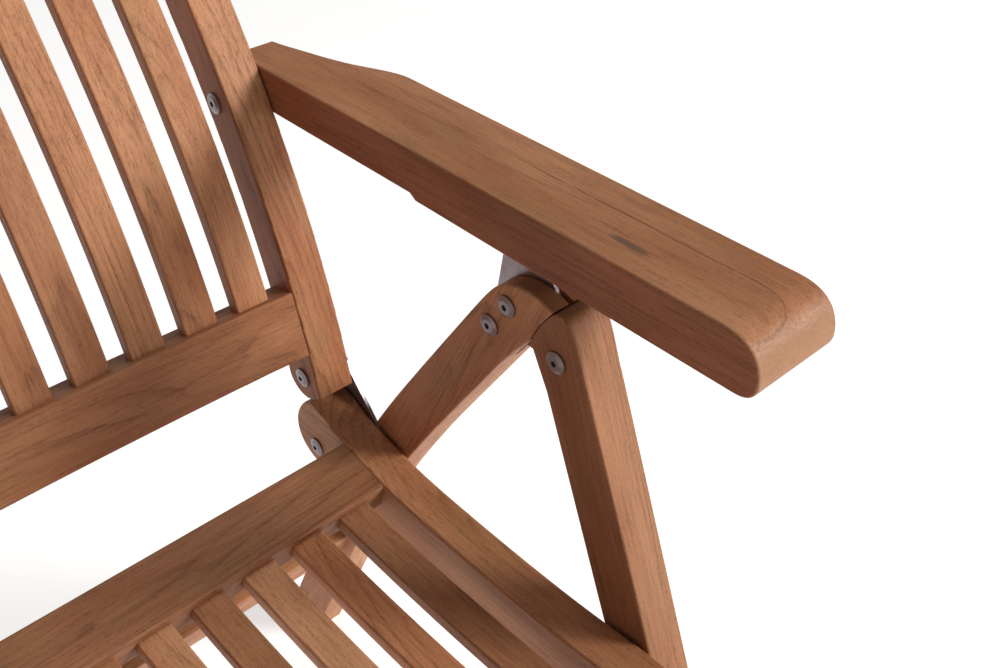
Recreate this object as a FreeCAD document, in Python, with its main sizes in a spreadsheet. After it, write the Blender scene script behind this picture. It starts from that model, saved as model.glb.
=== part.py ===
import FreeCAD, Part
import math
import os
import Sketcher

OUTPUT_DIRECTORY = "parts"

doc = FreeCAD.newDocument("RecliningFoldingArmchair")

# ---------------------------------------------------------------- driving dimensions (mm, degrees)
# Frame: X across the seat, Y from front (-) to back (+), Z up from the floor.

SHEET_ROWS = [
    ("seat_half_width", 192.5, "centre line to the inner face of side rails and stiles"),
    ("rail_thickness", 35.0, "side rails and stiles across X"),
    ("corner_plate_inner", 228.0, "inner face of the corner plates"),
    ("corner_plate_thickness", 3.0, "stainless corner plates"),
    ("leg_inner", 231.0, "inner face of the legs"),
    ("leg_thickness", 35.0, "legs across X"),
    ("arm_inner", 228.3, "inner face of the armrests"),
    ("arm_width", 74.0, "armrest board across X"),
    ("slat_width", 29.0, "back and seat slats across X"),
    ("slat_pitch", 46.0, "slat centre spacing"),
    ("slat_thickness", 14.0, "back and seat slats"),
    ("stile_depth", 37.0, "stiles front to rear"),
    ("stile_lean", 11.5, "lean of the stile front at the reference height"),
    ("lumbar_radius", 930.0, "convex lower curve of the stile fronts"),
    ("upper_radius", 2200.0, "hollow upper curve of the stile fronts"),
    ("front_leg_width", 43.5, "front legs in the side view"),
    ("front_leg_lean", 20.25, "front legs from the vertical"),
    ("rear_leg_width", 43.0, "rear legs in the side view"),
    ("hinge_plate_thickness", 3.0, "stainless plates in the leg tops"),
    ("kerf_width", 4.6, "saw kerf for the hinge plates"),
    ("bolt_shank", 8.0, "connector bolt shank diameter"),
    ("bolt_clearance", 0.1, "hole over shank, on the diameter"),
    ("bolt_head", 17.0, "connector bolt head diameter"),
    ("bolt_head_height", 3.2, "connector bolt head height"),
    ("hex_socket", 4.5, "socket across flats"),
    ("edge_radius", 2.0, "eased edges of the timber"),
    ("fine_edge_radius", 1.2, "smaller arris where a curve is tight"),
    ("slat_edge_radius", 2.0, "eased edges of the slats"),
    ("plan_shift", 19.225, "moves the layout along Y so the footprint is centred on the origin"),
]

sheet = doc.addObject("Spreadsheet::Sheet", "Dimensions")
for row_number, (alias, value, note) in enumerate(SHEET_ROWS, start=1):
    sheet.set("A%d" % row_number, alias)
    sheet.set("B%d" % row_number, str(value))
    sheet.set("C%d" % row_number, note)
    sheet.setAlias("B%d" % row_number, alias)
doc.recompute()

DIM = {alias: value for alias, value, note in SHEET_ROWS}

# ---------------------------------------------------------------- pivots and key points (Y, Z)

BACK_PIVOT = (99.0, 469.0)
SEAT_PIVOT = (89.7, 395.0)
PLATE_BOLT = (45.0, 402.0)
PLATE_SCREW = (63.5, 398.0)
ARM_PIVOT = (177.0, 698.0)
LEG_HINGE = (-163.0, 618.5)
HINGE_BOLT_UPPER = (-114.6, 639.0)
HINGE_BOLT_LOWER = (-97.1, 613.9)
LOCK_PIN = (-118.0, 672.0)

PIVOT_BOSS_RADIUS = 21.0
LOBE_RADIUS = 13.0
SCREW_SHANK = 5.0
SLAT_COUNT = 8
CROSS_BOW = 6.0
FIRST_SLAT_X = -0.5 * (SLAT_COUNT - 1) * DIM["slat_pitch"]
TENON_LENGTH = 12.0

LEFT = 1
RIGHT = -1
SIDES = (("left", LEFT), ("right", RIGHT))


def bound(alias):
    """Expression text for one sheet value."""
    return "<<Dimensions>>." + alias


def polar(centre, radius, angle_degrees):
    """Point on a circle in the side view."""
    angle = math.radians(angle_degrees)
    return (centre[0] + radius * math.cos(angle), centre[1] + radius * math.sin(angle))


def shifted(point, direction, distance):
    """Point moved along a unit direction."""
    return (point[0] + direction[0] * distance, point[1] + direction[1] * distance)


def unit(start, end):
    """Unit direction from one point to another."""
    length = math.hypot(end[0] - start[0], end[1] - start[1])
    return ((end[0] - start[0]) / length, (end[1] - start[1]) / length)


def vector(point):
    """Sketch-plane vector of a point."""
    return FreeCAD.Vector(point[0], point[1], 0.0)


def line(start, end):
    """Straight outline piece."""
    return ("line", start, end)


def arc(start, middle, end):
    """Circular outline piece through three points."""
    return ("arc", start, middle, end)


def spline(points):
    """Smooth outline piece through a run of points."""
    return ("spline", points)


def polygon(points):
    """Closed straight-sided outline."""
    closed = list(points) + [points[0]]
    return [line(a, b) for a, b in zip(closed[:-1], closed[1:])]


def origin_plane(body, role):
    """One of the three origin planes of a body."""
    for feature in body.Origin.OriginFeatures:
        if feature.Role == role:
            return feature
    raise RuntimeError("no plane " + role)


def add_sketch(body, name, role, outline, circles=(), offset=0.0):
    """Sketch holding an outline and round holes, on an origin plane of its body."""
    sketch = body.newObject("Sketcher::SketchObject", name)
    sketch.AttachmentSupport = [(origin_plane(body, role), "")]
    sketch.MapMode = "FlatFace"
    sketch.AttachmentOffset = FreeCAD.Placement(FreeCAD.Vector(0, 0, offset), FreeCAD.Rotation())
    for piece in outline:
        if piece[0] == "line":
            sketch.addGeometry(Part.LineSegment(vector(piece[1]), vector(piece[2])), False)
        elif piece[0] == "arc":
            sketch.addGeometry(Part.Arc(vector(piece[1]), vector(piece[2]), vector(piece[3])), False)
        else:
            curve = Part.BSplineCurve()
            curve.interpolate([vector(point) for point in piece[1]])
            sketch.addGeometry(curve, False)
    for centre, diameter in circles:
        normal = FreeCAD.Vector(0, 0, 1)
        index = sketch.addGeometry(Part.Circle(vector(centre), normal, diameter / 2.0), False)
        sketch.addConstraint(Sketcher.Constraint("Diameter", index, diameter))
    return sketch


def new_body(label, x_expression):
    """Body whose X position follows the sheet."""
    body = doc.addObject("PartDesign::Body", label)
    body.Label = label
    body.setExpression("Placement.Base.x", x_expression)
    body.setExpression("Placement.Base.y", bound("plan_shift"))
    return body


def add_pad(body, sketch, name, length_expression):
    """Pad of a sketch with a length from the sheet."""
    pad = body.newObject("PartDesign::Pad", name)
    pad.Profile = sketch
    pad.setExpression("Length", length_expression)
    doc.recompute()
    return pad


def add_slot(body, name, role, outline, bottom, depth):
    """Pocket between two levels of an origin plane, checked to remove material."""
    before = body.Shape.Volume
    sketch = add_sketch(body, name + "_outline", role, outline, offset=bottom)
    pocket = body.newObject("PartDesign::Pocket", name)
    pocket.Profile = sketch
    pocket.Length = depth
    pocket.Reversed = True
    doc.recompute()
    if body.Shape.Volume > before - 1.0:
        raise RuntimeError(name + " removed nothing")
    return pocket


def ease_edges(body, feature, radius_alias, keep):
    """Fillet on the edges a rule picks out, with a radius from the sheet."""
    names = []
    for index, edge in enumerate(feature.Shape.Edges, start=1):
        if edge.Length > 1.0 and keep(edge):
            names.append("Edge%d" % index)
    for alias in (radius_alias, "fine_edge_radius"):
        fillet = body.newObject("PartDesign::Fillet", feature.Name + "_eased")
        fillet.Base = (feature, names)
        fillet.setExpression("Radius", bound(alias))
        doc.recompute()
        if not fillet.Shape.isNull() and fillet.Shape.isValid() and fillet.Shape.Volume > 1.0:
            return fillet
        doc.removeObject(fillet.Name)
        body.Tip = feature
        doc.recompute()
    print("edges left square: " + feature.Name)
    return feature


LEAST_EASED_LENGTH = 60.0


def is_hole_edge(edge):
    """True for the small round edges of bolt holes."""
    return isinstance(edge.Curve, Part.Circle) and edge.Curve.Radius < DIM["bolt_head"] / 2.0


def long_edges(edge):
    """Edges of the two side faces of a board, leaving bolt holes crisp."""
    if is_hole_edge(edge):
        return False
    box = edge.BoundBox
    return box.XLength < 0.01 and edge.Length > LEAST_EASED_LENGTH


def hole(point, shank="bolt_shank"):
    """Bolt hole for a sketch."""
    return (point, DIM[shank] + DIM["bolt_clearance"])


def side_expression(side, inner_alias, width_alias):
    """X of a sideways pad so that both hands mirror about the centre."""
    if side == LEFT:
        return bound(inner_alias)
    return "-%s - %s" % (bound(inner_alias), bound(width_alias))


def side_board(label, side, outline, circles, inner_alias, width_alias, eased=True):
    """Flat board drawn in the side view and padded across X."""
    body = new_body(label, side_expression(side, inner_alias, width_alias))
    sketch = add_sketch(body, label + "_profile", "YZ_Plane", outline, circles)
    pad = add_pad(body, sketch, label + "_board", bound(width_alias))
    if eased:
        ease_edges(body, pad, "edge_radius", long_edges)
    return body


# ---------------------------------------------------------------- back curve

STILE_REFERENCE = (80.2, 480.0)
STILE_FOOT_Z = 458.0
INFLECTION_Z = 775.0
UPPER_END_LEAN = 22.5


def lean_at(height):
    """Lean of the stile front in degrees at a height on the lower curve."""
    start = math.sin(math.radians(DIM["stile_lean"]))
    return math.degrees(math.asin(start + (height - STILE_REFERENCE[1]) / DIM["lumbar_radius"]))


LUMBAR_CENTRE = (
    STILE_REFERENCE[0] + DIM["lumbar_radius"] * math.cos(math.radians(DIM["stile_lean"])),
    STILE_REFERENCE[1] - DIM["lumbar_radius"] * math.sin(math.radians(DIM["stile_lean"])),
)
INFLECTION_LEAN = lean_at(INFLECTION_Z)


def lower_point(lean, depth):
    """Point on the lower curve, a depth behind the stile fronts."""
    return polar(LUMBAR_CENTRE, DIM["lumbar_radius"] - depth, 180.0 - lean)


INFLECTION = lower_point(INFLECTION_LEAN, 0.0)
UPPER_CENTRE = polar(INFLECTION, DIM["upper_radius"], 180.0 - INFLECTION_LEAN)


def upper_point(lean, depth):
    """Point on the upper curve, a depth behind the stile fronts."""
    return polar(UPPER_CENTRE, DIM["upper_radius"] + depth, -lean)


FOOT_LEAN = lean_at(STILE_FOOT_Z)


def stile_outline():
    """Stile with a boss round the back pivot and a rounded top."""
    depth = DIM["stile_depth"]
    foot = lower_point(FOOT_LEAN, 0.0)
    boss_bottom = polar(BACK_PIVOT, PIVOT_BOSS_RADIUS, -105.0)
    boss_middle = polar(BACK_PIVOT, PIVOT_BOSS_RADIUS, -48.0)
    boss_rear = polar(BACK_PIVOT, PIVOT_BOSS_RADIUS, 8.0)
    rear_join = lower_point(lean_at(515.0), depth)
    middle_low = 0.5 * (lean_at(515.0) + INFLECTION_LEAN)
    middle_high = 0.5 * (UPPER_END_LEAN + INFLECTION_LEAN)
    top_front = upper_point(UPPER_END_LEAN, 0.0)
    top_rear = upper_point(UPPER_END_LEAN, depth)
    top_middle = shifted(
        upper_point(UPPER_END_LEAN, 0.5 * depth),
        (math.sin(math.radians(UPPER_END_LEAN)), math.cos(math.radians(UPPER_END_LEAN))),
        0.36 * depth,
    )
    return [
        arc(foot, lower_point(0.5 * (FOOT_LEAN + INFLECTION_LEAN), 0.0), INFLECTION),
        arc(INFLECTION, upper_point(middle_high, 0.0), top_front),
        arc(top_front, top_middle, top_rear),
        arc(top_rear, upper_point(middle_high, depth), lower_point(INFLECTION_LEAN, depth)),
        arc(lower_point(INFLECTION_LEAN, depth), lower_point(middle_low, depth), rear_join),
        line(rear_join, boss_rear),
        arc(boss_rear, boss_middle, boss_bottom),
        line(boss_bottom, foot),
    ]


for side_name, side in SIDES:
    side_board("stile_" + side_name, side, stile_outline(), [hole(BACK_PIVOT), hole(ARM_PIVOT)],
               "seat_half_width", "rail_thickness")


# ---------------------------------------------------------------- bowed back rails

LOWER_RAIL_BOTTOM_Z = 500.7
LOWER_RAIL_HEIGHT = 58.5
LOWER_RAIL_DEPTH = 30.0
TOP_RAIL_HEIGHT = 82.0
TOP_RAIL_DEPTH = 28.0
SLAT_SETBACK = 7.0


def bow_at(x):
    """How far the back is hollowed behind the stile fronts at a distance from the centre."""
    return CROSS_BOW * (1.0 - (x / DIM["seat_half_width"]) ** 2)


def bowed_outline(front_offset, depth):
    """Plan outline of a rail hollowed towards its middle."""
    half = DIM["seat_half_width"]
    middle_front = front_offset + CROSS_BOW
    return [
        arc((-half, front_offset), (0.0, middle_front), (half, front_offset)),
        line((half, front_offset), (half, front_offset + depth)),
        arc((half, front_offset + depth), (0.0, middle_front + depth), (-half, front_offset + depth)),
        line((-half, front_offset + depth), (-half, front_offset)),
    ]


def leaning_rail(label, base_point, lean, height, depth):
    """Bowed rail whose height runs along the lean of the back."""
    body = doc.addObject("PartDesign::Body", label)
    body.Label = label
    rotation = FreeCAD.Rotation(FreeCAD.Vector(1, 0, 0), -lean)
    body.Placement = FreeCAD.Placement(FreeCAD.Vector(0.0, base_point[0], base_point[1]), rotation)
    body.setExpression("Placement.Base.y", "%.6f + %s" % (base_point[0], bound("plan_shift")))
    sketch = add_sketch(body, label + "_plan", "XY_Plane", bowed_outline(0.0, depth))
    pad = body.newObject("PartDesign::Pad", label + "_board")
    pad.Profile = sketch
    pad.Length = height
    doc.recompute()

    def long_ways(edge):
        return edge.BoundBox.XLength > DIM["seat_half_width"]

    ease_edges(body, pad, "edge_radius", long_ways)
    return body


LOWER_RAIL_LEAN = 15.2
lower_rail_base = lower_point(lean_at(LOWER_RAIL_BOTTOM_Z), 0.0)
leaning_rail("back_lower_rail", lower_rail_base, LOWER_RAIL_LEAN, LOWER_RAIL_HEIGHT, LOWER_RAIL_DEPTH)

TOP_RAIL_LEAN = 23.6
top_rail_top = upper_point(UPPER_END_LEAN + 0.25, 2.0)
top_rail_base = shifted(
    top_rail_top,
    (-math.sin(math.radians(TOP_RAIL_LEAN)), -math.cos(math.radians(TOP_RAIL_LEAN))),
    TOP_RAIL_HEIGHT,
)
leaning_rail("back_top_rail", top_rail_base, TOP_RAIL_LEAN, TOP_RAIL_HEIGHT, TOP_RAIL_DEPTH)


# ---------------------------------------------------------------- back slats

def slat_x(number):
    """Left edge of a slat counted from the -X side."""
    return FIRST_SLAT_X + number * DIM["slat_pitch"] - DIM["slat_width"] / 2.0


def slat_expression(number):
    """Sheet expression for the left edge of a slat."""
    half_count = (SLAT_COUNT - 1) / 2.0
    return "(%.1f) * %s - %s / 2" % (number - half_count, bound("slat_pitch"), bound("slat_width"))


def across_edges(edge):
    """Long arrises of a slat, leaving its end shoulders square."""
    box = edge.BoundBox
    return box.XLength < 0.01 and max(box.YLength, box.ZLength) > 2.0 * DIM["slat_thickness"]


def face_lean(curve, low_lean, high_lean, depth, face_point, face_angle):
    """Lean at which a curve at a depth behind the stile fronts reaches a rail face."""
    normal = (math.sin(math.radians(face_angle)), math.cos(math.radians(face_angle)))
    for _ in range(HALVINGS):
        middle = 0.5 * (low_lean + high_lean)
        point = curve(middle, depth)
        rise = (point[0] - face_point[0]) * normal[0] + (point[1] - face_point[1]) * normal[1]
        if rise < 0.0:
            low_lean = middle
        else:
            high_lean = middle
    return 0.5 * (low_lean + high_lean)


HALVINGS = 50
lower_rail_crest = shifted(
    lower_rail_base,
    (math.sin(math.radians(LOWER_RAIL_LEAN)), math.cos(math.radians(LOWER_RAIL_LEAN))),
    LOWER_RAIL_HEIGHT,
)


def slat_outline(front):
    """Side view of a back slat shouldered on the faces of both rails."""
    rear = front + DIM["slat_thickness"]
    feet = []
    heads = []
    for depth in (front, rear):
        foot = face_lean(lower_point, FOOT_LEAN, INFLECTION_LEAN, depth, lower_rail_crest, LOWER_RAIL_LEAN)
        head = face_lean(upper_point, INFLECTION_LEAN, UPPER_END_LEAN, depth, top_rail_base, TOP_RAIL_LEAN)
        feet.append(foot)
        heads.append(head)
    waist_front = lower_point(INFLECTION_LEAN, front)
    waist_rear = lower_point(INFLECTION_LEAN, rear)
    return [
        arc(lower_point(feet[0], front), lower_point(0.5 * (feet[0] + INFLECTION_LEAN), front), waist_front),
        arc(waist_front, upper_point(0.5 * (heads[0] + INFLECTION_LEAN), front), upper_point(heads[0], front)),
        line(upper_point(heads[0], front), upper_point(heads[1], rear)),
        arc(upper_point(heads[1], rear), upper_point(0.5 * (heads[1] + INFLECTION_LEAN), rear), waist_rear),
        arc(waist_rear, lower_point(0.5 * (feet[1] + INFLECTION_LEAN), rear), lower_point(feet[1], rear)),
        line(lower_point(feet[1], rear), lower_point(feet[0], front)),
    ]


def back_slat(number):
    """Curved slat let between the lower and top rails."""
    label = "back_slat_%d" % (number + 1)
    body = new_body(label, slat_expression(number))
    centre_x = slat_x(number) + DIM["slat_width"] / 2.0
    outline = slat_outline(SLAT_SETBACK + bow_at(centre_x))
    sketch = add_sketch(body, label + "_profile", "YZ_Plane", outline)
    pad = add_pad(body, sketch, label + "_strip", bound("slat_width"))
    ease_edges(body, pad, "slat_edge_radius", across_edges)
    return body


for slat_number in range(SLAT_COUNT):
    back_slat(slat_number)


# ---------------------------------------------------------------- seat frame

RAIL_REAR_RADIUS = 30.0
SEAT_FRONT_Y = -350.0
RAIL_TOP = [
    (66.0, 434.5), (48.0, 427.5), (20.0, 420.6), (-7.5, 415.3), (-55.0, 411.0), (-110.0, 409.0),
    (-165.0, 408.5), (-205.0, 409.5), (-250.0, 412.5), (-295.0, 414.0), (-325.0, 411.0),
]
RAIL_BOTTOM = [
    (-320.0, 362.0), (-250.0, 357.5), (-150.0, 356.0), (-60.0, 357.0), (20.0, 362.0), (62.0, 369.0),
]
RAIL_FRONT = [(-325.0, 411.0), (-349.0, 392.0), (-320.0, 362.0)]
RAIL_REAR = [
    (62.0, 369.0), (84.0, 373.0), (100.0, 376.5), (113.0, 386.0), (119.0, 400.0), (117.5, 416.0),
    (108.0, 433.0), (94.0, 443.5), (84.0, 442.5), (66.0, 434.5),
]


def rail_outline():
    """Contoured side rail of the seat."""
    return [spline(RAIL_TOP), spline(RAIL_FRONT), spline(RAIL_BOTTOM), spline(RAIL_REAR)]


for side_name, side in SIDES:
    side_board("seat_side_rail_" + side_name, side, rail_outline(), [hole(SEAT_PIVOT)],
               "seat_half_width", "rail_thickness")

REAR_RAIL_FRONT_TOP = (-6.8, 414.8)
REAR_RAIL_REAR_TOP = (48.3, 427.0)
CROSS_RAIL_THICKNESS = 26.0
FRONT_RAIL_REAR_TOP = (-290.0, 413.3)
FRONT_RAIL_FRONT_TOP = (-334.0, 408.2)


def cross_rail_outline(front_top, rear_top, thickness):
    """Tilted rectangular section of a cross rail."""
    along = unit(front_top, rear_top)
    down = (along[1], -along[0])
    return polygon([
        front_top, rear_top, shifted(rear_top, down, thickness), shifted(front_top, down, thickness),
    ])


def cross_member(label, outline, half_alias):
    """Straight member padded right across between two side members."""
    body = new_body(label, "-" + bound(half_alias))
    sketch = add_sketch(body, label + "_section", "YZ_Plane", outline)
    pad = add_pad(body, sketch, label + "_board", "2 * " + bound(half_alias))

    def lengthwise(edge):
        return edge.BoundBox.XLength > DIM["seat_half_width"]

    ease_edges(body, pad, "edge_radius", lengthwise)
    return body


cross_member("seat_rear_rail", cross_rail_outline(REAR_RAIL_FRONT_TOP, REAR_RAIL_REAR_TOP,
                                                  CROSS_RAIL_THICKNESS), "seat_half_width")
cross_member("seat_front_rail", cross_rail_outline(FRONT_RAIL_FRONT_TOP, FRONT_RAIL_REAR_TOP,
                                                   CROSS_RAIL_THICKNESS), "seat_half_width")

SEAT_SLAT_TOP = [
    (-5.3, 407.6), (-55.0, 403.9), (-110.0, 401.8), (-165.0, 401.3), (-205.0, 402.2),
    (-250.0, 405.0), (-289.3, 406.8),
]


def seat_slat_outline():
    """Hollowed slat running front to back."""
    thickness = DIM["slat_thickness"]
    bottom = [(point[0], point[1] - thickness) for point in reversed(SEAT_SLAT_TOP)]
    bottom[0] = (-287.6, SEAT_SLAT_TOP[-1][1] - thickness)
    bottom[-1] = (-2.2, SEAT_SLAT_TOP[0][1] - thickness)
    return [
        spline(SEAT_SLAT_TOP), line(SEAT_SLAT_TOP[-1], bottom[0]), spline(bottom),
        line(bottom[-1], SEAT_SLAT_TOP[0]),
    ]


for slat_number in range(SLAT_COUNT):
    slat_label = "seat_slat_%d" % (slat_number + 1)
    slat_body = new_body(slat_label, slat_expression(slat_number))
    slat_sketch = add_sketch(slat_body, slat_label + "_profile", "YZ_Plane", seat_slat_outline())
    slat_pad = add_pad(slat_body, slat_sketch, slat_label + "_strip", bound("slat_width"))
    ease_edges(slat_body, slat_pad, "slat_edge_radius", across_edges)


# ---------------------------------------------------------------- rear legs

LOWER_LEAN = 25.0
JOINT_LINE = [(-158.0, 656.5), (-151.0, 647.0), (-143.5, 635.5), (-137.5, 622.0)]
REAR_LEG_CROWN = [(-94.7, 640.3), (-106.9, 652.6), (-120.0, 659.0), (-135.0, 661.3),
                  (-148.0, 659.6), (-158.0, 656.5)]
FRONT_EDGE = [(-137.5, 622.0), (-128.0, 611.5), (-85.9, 553.5), (-49.0, 499.5), (-16.1, 450.6), (9.5, 410.5),
                  (36.6, 366.0), (60.0, 322.5), (86.0, 268.0), (109.7, 216.5), (147.0, 135.0),
                  (171.0, 81.5), (208.0, 0.0)]
REAR_EDGE_LOW = [(258.0, 0.0), (221.0, 81.5), (197.0, 134.0), (159.0, 216.0), (134.5, 268.0),
                 (107.0, 323.0), (86.0, 364.0), (70.0, 395.0), (49.5, 429.5), (25.5, 466.8),
                 (0.5, 503.8), (-23.4, 538.6), (-45.8, 571.0), (-66.8, 601.2), (-86.4, 629.2)]


def rear_leg_outline():
    """Swept rear leg with a rounded crown and a shaped seat for the front leg."""
    return [
        spline(REAR_EDGE_LOW + REAR_LEG_CROWN),
        spline(JOINT_LINE),
        spline(FRONT_EDGE),
        line(FRONT_EDGE[-1], REAR_EDGE_LOW[0]),
    ]


REAR_KERF = [(-180.0, 640.0), (-118.0, 574.0), (-58.0, 614.0), (-100.0, 680.0), (-180.0, 680.0)]
KERF_START = 0.5 * (DIM["leg_thickness"] - DIM["kerf_width"])

for side_name, side in SIDES:
    leg = side_board("rear_leg_" + side_name, side, rear_leg_outline(),
                     [hole(HINGE_BOLT_UPPER), hole(HINGE_BOLT_LOWER), hole(PLATE_BOLT),
                      (PLATE_SCREW, SCREW_SHANK + DIM["bolt_clearance"])],
                     "leg_inner", "leg_thickness")
    add_slot(leg, "rear_kerf_" + side_name, "YZ_Plane", polygon(REAR_KERF), KERF_START, DIM["kerf_width"])


# ---------------------------------------------------------------- front legs

LEG_ALONG = (-math.sin(math.radians(DIM["front_leg_lean"])), -math.cos(math.radians(DIM["front_leg_lean"])))
LEG_ACROSS = (LEG_ALONG[1], -LEG_ALONG[0])
FRONT_LEG_AXIS_OFFSET = 2.2


def leg_point(along, across):
    """Point given along and across the front leg from its hinge."""
    return shifted(shifted(LEG_HINGE, LEG_ALONG, along), LEG_ACROSS, across + FRONT_LEG_AXIS_OFFSET)


def floor_point(across):
    """Point on the floor under a line of the front leg."""
    start = leg_point(0.0, across)
    return shifted(start, LEG_ALONG, start[1] / -LEG_ALONG[1])


def front_leg_outline():
    """Straight front leg with a sloped crown that butts on the rear leg."""
    half = 0.5 * DIM["front_leg_width"]
    joint = [(-138.3, 621.2), (-144.6, 635.8), (-152.2, 647.5), (-159.4, 656.0)]
    front_edge = [(-159.4, 656.0), (-163.6, 657.7), (-168.4, 657.6), (-172.2, 655.3), (-175.6, 650.6)]
    for along in (-16.0, 0.0, 20.0):
        front_edge.append(leg_point(along, half))
    shoulder = leg_point(14.0, -half)
    return [
        spline(joint),
        spline(front_edge),
        line(front_edge[-1], floor_point(half)),
        line(floor_point(half), floor_point(-half)),
        line(floor_point(-half), shoulder),
        line(shoulder, joint[0]),
    ]


def hinge_point(along, across):
    """Point given along and across the front leg from the hinge pin itself."""
    return shifted(shifted(LEG_HINGE, LEG_ALONG, along), LEG_ACROSS, across)


KERF_ROOM = LOBE_RADIUS + 1.6
FRONT_KERF = [
    hinge_point(38.0, -40.0), hinge_point(38.0, 4.0), hinge_point(10.0, KERF_ROOM),
    hinge_point(-8.0, KERF_ROOM), polar(LEG_HINGE, KERF_ROOM + 1.0, 135.0), (-150.0, 660.0),
    (-120.0, 690.0), (-90.0, 640.0),
]

for side_name, side in SIDES:
    leg = side_board("front_leg_" + side_name, side, front_leg_outline(), [hole(LEG_HINGE)],
                     "leg_inner", "leg_thickness")
    add_slot(leg, "front_kerf_" + side_name, "YZ_Plane", polygon(FRONT_KERF), KERF_START, DIM["kerf_width"])


# ---------------------------------------------------------------- stretchers

STRETCHER_THICKNESS = 22.0
FRONT_STRETCHER_HEIGHT = 38.0
REAR_STRETCHER_HEIGHT = 40.0


def stretcher_outline(centre, direction, height, thickness):
    """Rectangular section set along a leg."""
    across = (direction[1], -direction[0])
    top = shifted(centre, direction, -0.5 * height)
    foot = shifted(centre, direction, 0.5 * height)
    half = 0.5 * thickness
    return polygon([
        shifted(top, across, -half), shifted(top, across, half), shifted(foot, across, half),
        shifted(foot, across, -half),
    ])


REAR_LEG_DIRECTION = (math.sin(math.radians(LOWER_LEAN)), -math.cos(math.radians(LOWER_LEAN)))
FRONT_STRETCHER_CENTRE = leg_point(303.0, 0.0)
REAR_STRETCHER_CENTRE = (130.5, 223.0)

cross_member("front_stretcher", stretcher_outline(FRONT_STRETCHER_CENTRE, LEG_ALONG, FRONT_STRETCHER_HEIGHT,
                                                  STRETCHER_THICKNESS), "leg_inner")
cross_member("rear_stretcher", stretcher_outline(REAR_STRETCHER_CENTRE, REAR_LEG_DIRECTION,
                                                 REAR_STRETCHER_HEIGHT, STRETCHER_THICKNESS), "leg_inner")


# ---------------------------------------------------------------- steel plates

def lobed_outline(centres, radius):
    """Rounded outline round a ring of centres taken clockwise."""
    pieces = []
    count = len(centres)
    normals = []
    for index in range(count):
        along = unit(centres[index], centres[(index + 1) % count])
        normals.append((-along[1], along[0]))
    for index in range(count):
        start = shifted(centres[index], normals[index], radius)
        end = shifted(centres[(index + 1) % count], normals[index], radius)
        pieces.append(line(start, end))
        following = normals[(index + 1) % count]
        corner = centres[(index + 1) % count]
        middle = unit((0.0, 0.0), (normals[index][0] + following[0], normals[index][1] + following[1]))
        pieces.append(arc(end, shifted(corner, middle, radius), shifted(corner, following, radius)))
    return pieces


CORNER_RING = [PLATE_BOLT, BACK_PIVOT, SEAT_PIVOT]
HINGE_PLATE_HEEL = (-135.0, 598.5)
HEAD_TIP_Z = 690.0


def hinge_plate_outline():
    """Hinge plate with an upstanding head that reaches into the armrest."""
    low = polar(HINGE_BOLT_LOWER, LOBE_RADIUS, 262.0)
    return [
        arc(polar(LEG_HINGE, LOBE_RADIUS, 125.0), polar(LEG_HINGE, LOBE_RADIUS, 200.0),
            polar(LEG_HINGE, LOBE_RADIUS, 275.0)),
        line(polar(LEG_HINGE, LOBE_RADIUS, 275.0), HINGE_PLATE_HEEL),
        line(HINGE_PLATE_HEEL, low),
        arc(low, polar(HINGE_BOLT_LOWER, LOBE_RADIUS, -50.0), polar(HINGE_BOLT_LOWER, LOBE_RADIUS, 12.0)),
        line(polar(HINGE_BOLT_LOWER, LOBE_RADIUS, 12.0), (-95.0, 673.0)),
        line((-95.0, 673.0), (-109.0, HEAD_TIP_Z)),
        line((-109.0, HEAD_TIP_Z), (-127.0, HEAD_TIP_Z)),
        line((-127.0, HEAD_TIP_Z), (-143.0, 662.0)),
        line((-143.0, 662.0), polar(LEG_HINGE, LOBE_RADIUS, 125.0)),
    ]


PIN_DIAMETER = 5.0
PIN_LENGTH = 15.0

for side_name, side in SIDES:
    side_board("corner_plate_" + side_name, side, lobed_outline(CORNER_RING, LOBE_RADIUS),
               [hole(BACK_PIVOT), hole(SEAT_PIVOT), hole(PLATE_BOLT),
                (PLATE_SCREW, SCREW_SHANK + DIM["bolt_clearance"])],
               "corner_plate_inner", "corner_plate_thickness", eased=False)
    hinge_label = "hinge_plate_" + side_name
    if side == LEFT:
        hinge_x = "%s + (%s - %s) / 2" % (bound("leg_inner"), bound("leg_thickness"),
                                          bound("hinge_plate_thickness"))
    else:
        hinge_x = "-%s - (%s + %s) / 2" % (bound("leg_inner"), bound("leg_thickness"),
                                           bound("hinge_plate_thickness"))
    hinge_body = new_body(hinge_label, hinge_x)
    hinge_sketch = add_sketch(hinge_body, hinge_label + "_profile", "YZ_Plane", hinge_plate_outline(),
                              [hole(LEG_HINGE), hole(HINGE_BOLT_UPPER), hole(HINGE_BOLT_LOWER),
                               (LOCK_PIN, PIN_DIAMETER)])
    add_pad(hinge_body, hinge_sketch, hinge_label + "_plate", bound("hinge_plate_thickness"))


# ---------------------------------------------------------------- armrests

ARM_TOP_Z = 721.5
ARM_UNDER_REAR_Z = 686.0
ARM_UNDER_STEP_Z = 682.0
ARM_UNDER_FRONT_Z = 679.5
ARM_REAR_Y = 198.0
ARM_FRONT_Y = -319.5
STEP_REAR_Y = -16.0
STEP_FRONT_Y = -22.0
RACK_THICKNESS = 2.4
RACK_WIDTH = 26.0
RACK_REAR_Y = -26.0
RACK_FRONT_Y = -246.0
GROOVE_WIDTH = 9.0
GROOVE_TOP_Z = 703.0
GROOVE_REAR_Y = -58.0
GROOVE_FRONT_Y = -242.0
NOTCH_STATIONS = (-94.0, -118.0, -149.6, -178.4, -205.0)
NOTCH_WIDTH = 18.0
NOTCH_LENGTH = 7.0
LEG_MIDDLE_X = DIM["leg_inner"] + 0.5 * DIM["leg_thickness"]


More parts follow.
